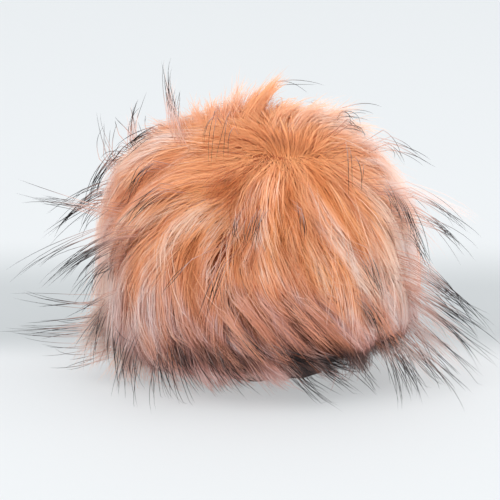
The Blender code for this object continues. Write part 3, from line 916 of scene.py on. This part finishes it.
# Strands that sweep over the lower front, pale at the root and dark at the tip.
SWEEPS = [Fluff(*row) for row in (
    (226, 312, 268, 366, 70, 4, 65, 67, 50), (240, 300, 290, 358, 70, 4, 70, 71, 30),
    (256, 318, 304, 370, 60, 4, 75, 55, 14), (262, 300, 312, 356, 70, 4, 75, 73, 36),
    (276, 322, 326, 372, 60, 4, 75, 51, 12), (284, 300, 336, 352, 70, 4, 70, 69, 34),
    (300, 322, 350, 366, 60, 4, 75, 49, 12), (306, 304, 356, 348, 60, 4, 65, 69, 32),
    (322, 322, 370, 362, 60, 4, 75, 49, 12), (326, 300, 374, 344, 60, 4, 55, 69, 32),
    (344, 312, 388, 356, 60, 4, 70, 57, 14), (352, 292, 392, 340, 60, 4, 55, 71, 34),
    (366, 300, 400, 346, 60, 5, 65, 69, 20), (236, 334, 282, 376, 60, 4, 80, 59, 40),
    (212, 336, 250, 374, 60, 4, 80, 57, 44), (190, 336, 218, 372, 60, 4, 80, 55, 44))]
FLUFF_SEGMENTS = 5
# Heights above the dense ball where they leave it and end, width and looseness.
FLUFF_HEIGHTS = (-0.0020, 0.0015)
SWEEP_HEIGHTS = (0.0010, 0.0040)
FLUFF_WIDTH = 0.00014
FLUFF_LOOSE = 0.0012
# Spread of dye and lightness, how lightness runs to the tip, how they face aside and to the front.
FLUFF_HUE, FLUFF_LIGHT = 0.08, 0.06
FLUFF_EASE = 1.5
FLUFF_ASIDE = 0.3
FLUFF_TO_FRONT = 1.6


def make_fluffs():
    """The soft tufts and the sweeping strands, in one piece."""
    placed = [tuft_paths(fluff, FLUFF_SEGMENTS, *FLUFF_HEIGHTS) for fluff in FLUFFS]
    placed += [tuft_paths(sweep, FLUFF_SEGMENTS, *SWEEP_HEIGHTS) for sweep in SWEEPS]
    hair = np.concatenate(placed)
    count, points = hair.shape[:2]
    share = np.linspace(0.0, 1.0, points)
    hair = above_floor(hair + chance.normal(0.0, FLUFF_LOOSE, (count, 1, 3)) * share[None, :, None] ** 2)
    tufts = FLUFFS + SWEEPS
    each = [tuft.hairs for tuft in tufts]
    hue, root, tip = (np.repeat([getattr(tuft, column) / PERCENT for tuft in tufts], each)[:, None]
                      for column in ("hue", "light", "tip"))
    hue = hue + chance.normal(0.0, FLUFF_HUE, (count, 1))
    # The lightness is partly painted light, for light through fine hair at the outline.
    light = root + (tip - root) * share ** FLUFF_EASE + chance.normal(0.0, FLUFF_LIGHT, (count, 1))
    width = FLUFF_WIDTH * chance.uniform(*STIFF_WIDTHS, count)
    shading = unit(outward(ball_of(hair)) + to_front(hair, FLUFF_TO_FRONT))
    facing = unit(shading + chance.normal(0.0, FLUFF_ASIDE, (count, 1, 3)))
    return ribbons("fluff", hair, width, facing, shading, hue, light)


# ---- the base under the fur
# Its lumps, how proud of the core they stand, and how deep it falls between them.
BASE_LUMPS = 260
BASE_PROUD = 0.0022
BASE_DEEP = 0.02
BASE_SUBDIVISIONS = 4
# Its weave, in cells to the metre, is darkened by painted shade below the blend and warm above it.
WEAVE_CELLS = 900.0
WEAVE_PAINTED_SHADE = [(0.35, (46, 30, 28)), (0.65, (70, 46, 42))]
WEAVE_WARM = [(0.35, (140, 62, 28)), (0.65, (196, 104, 60))]
WEAVE_SHADE_HEIGHTS = (0.010, 0.040)


def make_base():
    """The closed lumpy base that the hairs root in, flat where it lies."""
    shape = bmesh.new()
    bmesh.ops.create_icosphere(shape, subdivisions=BASE_SUBDIVISIONS, radius=1.0)
    ball = unit(np.array([vert.co[:] for vert in shape.verts]))
    lumps = scatter(BASE_LUMPS, lowest=-1.0)
    lump = np.sqrt(np.maximum(0.0, 1.0 - np.sum(ball * lumps[nearest(ball, lumps)], axis=1)))
    points = CORE_CENTRE + ball * (CORE + BASE_PROUD - BASE_DEEP * lump[:, None])
    points[:, 2] = np.maximum(points[:, 2], 0.0)
    for vert, point in zip(shape.verts, points):
        vert.co = point
    mesh = bpy.data.meshes.new("fur_base")
    shape.to_mesh(mesh)
    shape.free()
    mesh.shade_smooth()
    return add_object("fur_base", mesh)


def base_material():
    """Woven cloth, with painted shade near the floor."""
    material, tree, shader = new_material("fur_roots", rough=0.9)
    place = tree.nodes.new("ShaderNodeTexCoord").outputs["Object"]
    noise = tree.nodes.new("ShaderNodeTexNoise")
    noise.inputs["Scale"].default_value = WEAVE_CELLS
    tree.links.new(place, noise.inputs["Vector"])
    dark, warm = (ramp(tree, noise.outputs["Fac"], chart) for chart in (WEAVE_PAINTED_SHADE, WEAVE_WARM))
    # Painted shade: the weave turns dark towards the floor.
    colour = mix(tree, step_ramp(tree, axes_of(tree, place)["Z"], *WEAVE_SHADE_HEIGHTS), dark, warm)
    tree.links.new(colour, shader.inputs["Base Color"])
    return material


def make_fur():
    pile = charted_fur("peach_pile", (ORANGE, PEACH, MAUVE), rough=0.6, sheen=0.35)
    guard = charted_fur("black_tipped_guard", (GUARD_PALE, GUARD_MID, GUARD_DARK), rough=0.5, sheen=0.0)
    locks = Locks()
    for coat in COATS:
        wear(make_coat(locks, coat), pile)
    wear(make_crown(locks, CROWN_COAT), pile)
    wear(make_fluffs(), pile)
    wear(make_guard(), guard)
    wear(make_base(), base_material())


# ---- stage, light and camera
# The floor's half size, and its colours over a depth behind the middle of the ball: pale, with a band of
# painted shade; it glows as painted light.
FLOOR_HALF = 3.0
FLOOR_DEPTH = 0.2
FLOOR_PALE, FLOOR_SHADE = (159, 161, 162), (137, 140, 141)
FLOOR_SHADE_BANDS = [(0.02, FLOOR_PALE), (0.20, FLOOR_SHADE), (0.45, FLOOR_SHADE), (0.85, FLOOR_PALE)]
FLOOR_PAINTED_GLOW = 1.17
SKY = (0.93, 0.965, 1.0, 1.0)
NEAREST_SEEN = 0.01

Lamp = namedtuple("Lamp", "name place size power colour")
LAMPS = [Lamp("key", (-0.35, -0.55, 1.1), 0.9, 6.0, (1.0, 0.985, 0.97)),
         Lamp("fill", (0.9, -0.15, 0.55), 0.8, 2.9, (1.0, 0.98, 0.96))]


def make_stage():
    """A pale floor that glows as painted light, with a band of painted shade just behind the ball."""
    corners = [(x * FLOOR_HALF, y * FLOOR_HALF, 0.0) for x, y in ((-1, -1), (1, -1), (1, 1), (-1, 1))]
    mesh = bpy.data.meshes.new("floor")
    mesh.from_pydata(corners, [], [(0, 1, 2, 3)])
    floor = add_object("floor", mesh)
    material, tree, shader = new_material("glowing_pale_floor", rough=0.8)
    place = tree.nodes.new("ShaderNodeTexCoord").outputs["Object"]
    depth = tree.nodes.new("ShaderNodeMapRange")
    depth.inputs["From Max"].default_value = FLOOR_DEPTH
    tree.links.new(axes_of(tree, place)["Y"], depth.inputs["Value"])
    colour = ramp(tree, depth.outputs["Result"], FLOOR_SHADE_BANDS, "EASE")
    tree.links.new(colour, shader.inputs["Base Color"])
    # Painted light: the floor glows in its own colours, which keeps shadows on it light and lights the fur
    # from below.
    tree.links.new(colour, shader.inputs["Emission Color"])
    shader.inputs["Emission Strength"].default_value = FLOOR_PAINTED_GLOW
    mesh.materials.append(material)


def make_lights():
    """An even sky, a key light from the upper left and a fill from the right."""
    world = bpy.data.worlds.new("studio")
    world.use_nodes = True
    world.node_tree.nodes["Background"].inputs["Color"].default_value = SKY
    bpy.context.scene.world = world
    for lamp in LAMPS:
        light = bpy.data.lights.new(lamp.name, "AREA")
        light.energy = lamp.power
        light.size = lamp.size
        light.color = lamp.colour
        aim = Vector(BODY_CENTRE) - Vector(lamp.place)
        piece = add_object(lamp.name, light)
        piece.location = lamp.place
        piece.rotation_euler = aim.to_track_quat("-Z", "Y").to_euler()


def make_camera():
    """A camera whose pixels are METRES_A_PIXEL wide at the ball."""
    lens = bpy.data.cameras.new("camera")
    lens.lens = lens.sensor_width * DISTANCE / (FRAME * METRES_A_PIXEL)
    lens.clip_start = NEAREST_SEEN
    camera = add_object("camera", lens)
    camera.location = CAMERA_AT
    camera.rotation_euler = Vector(SIGHT).to_track_quat("-Z", "Y").to_euler()
    bpy.context.scene.camera = camera


make_fur()
make_stage()
make_lights()
make_camera()
bpy.context.scene.view_settings.view_transform = "Standard"
